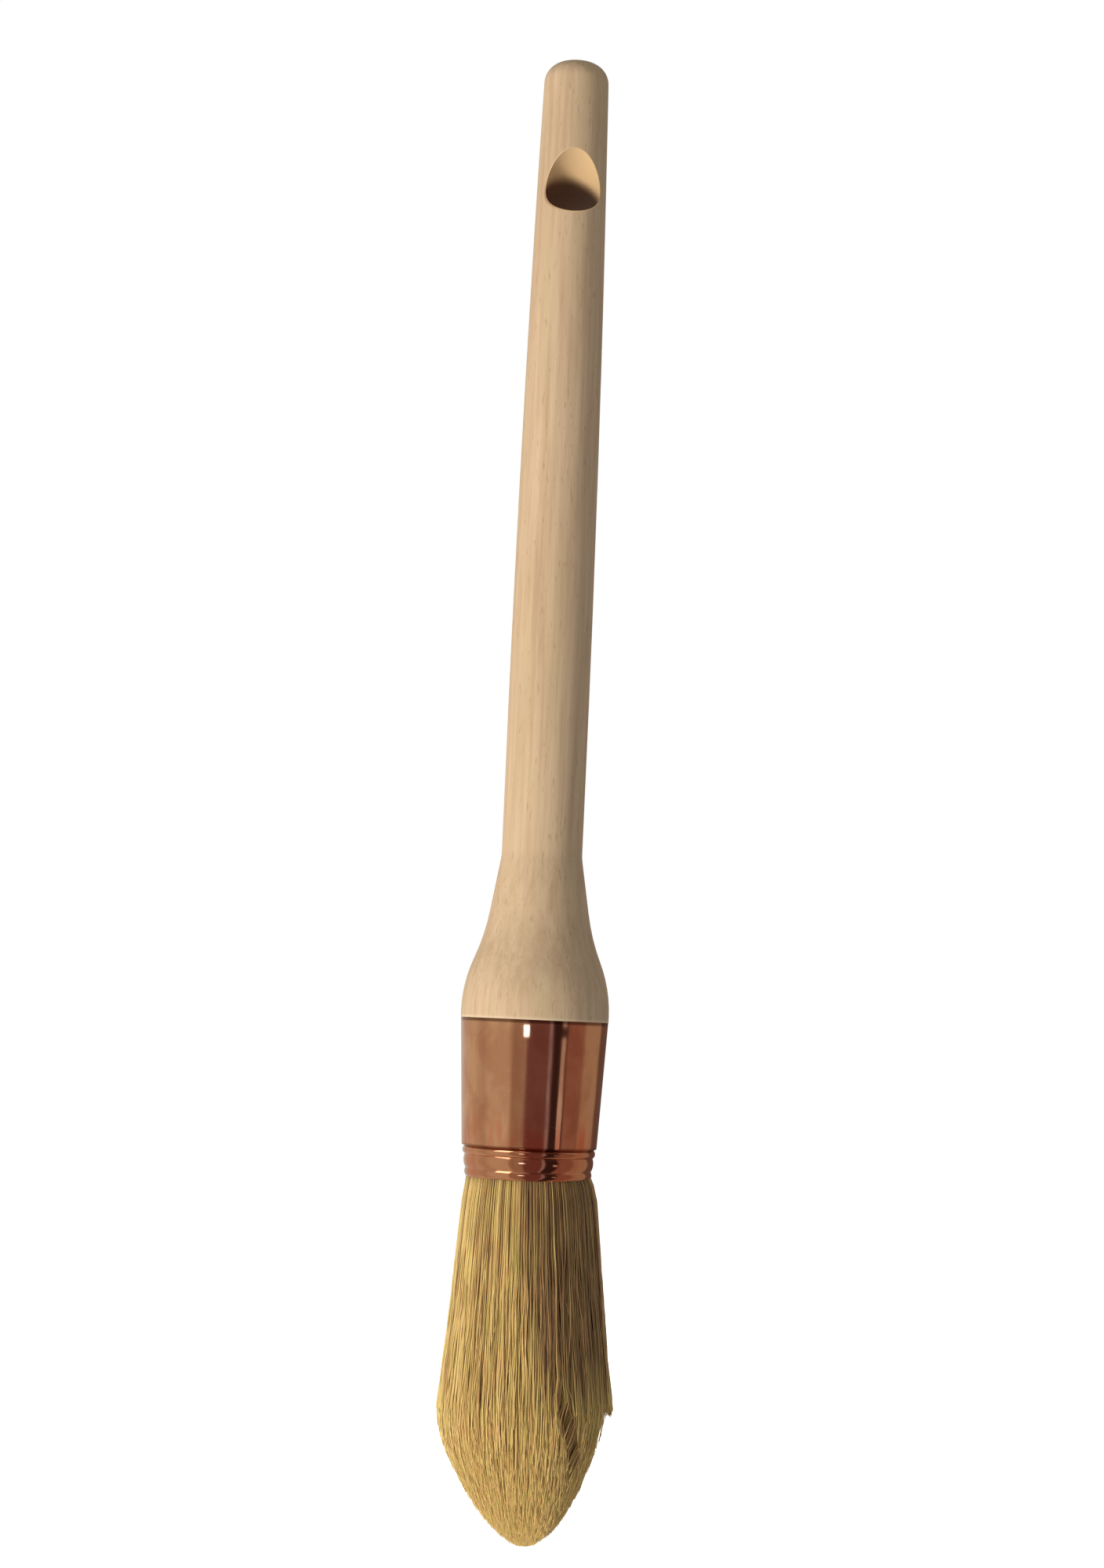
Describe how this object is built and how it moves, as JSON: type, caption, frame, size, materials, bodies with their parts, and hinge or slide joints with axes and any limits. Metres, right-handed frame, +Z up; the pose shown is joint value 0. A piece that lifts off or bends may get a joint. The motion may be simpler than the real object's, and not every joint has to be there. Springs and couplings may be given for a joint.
{
  "type": "round paint brush",
  "caption": "Round pointed paint brush with a turned wooden handle, slanting hanging hole, copper ferrule and blond bristle head.",
  "frame": {"origin": "centre of the slanting hanging hole near the handle's end, on the handle's axis", "axes": "+Z up the handle's axis towards its rounded end, so the bristles hang down; -Y is the front, where the hanging hole's higher mouth is; +X is the brush's right"},
  "size_m": [0.0289, 0.0288, 0.2536],
  "materials": {
    "beech": "matte",
    "copper": "polished",
    "pin_metal": "satin",
    "resin": "gloss",
    "bristle": "satin"
  },
  "bodies": {
    "brush": {"handle": "beech", "ferrule": "copper", "ferrule_pin_left": "pin_metal", "ferrule_pin_right": "pin_metal", "centre_plug": "beech", "bristle_setting": "resin", "bristle_butts": "bristle"},
    "bristles": {"bristle_bundle": "bristle"}
  },
  "joints": [
    {"name": "bristle_flex", "type": "hinge", "parent": "brush", "child": "bristles", "pos_m": [0, 0, -0.16665], "axis": [0, 1, 0], "range_deg": [-20, 20], "stiffness_Nm_per_rad": 0.3}
  ]
}
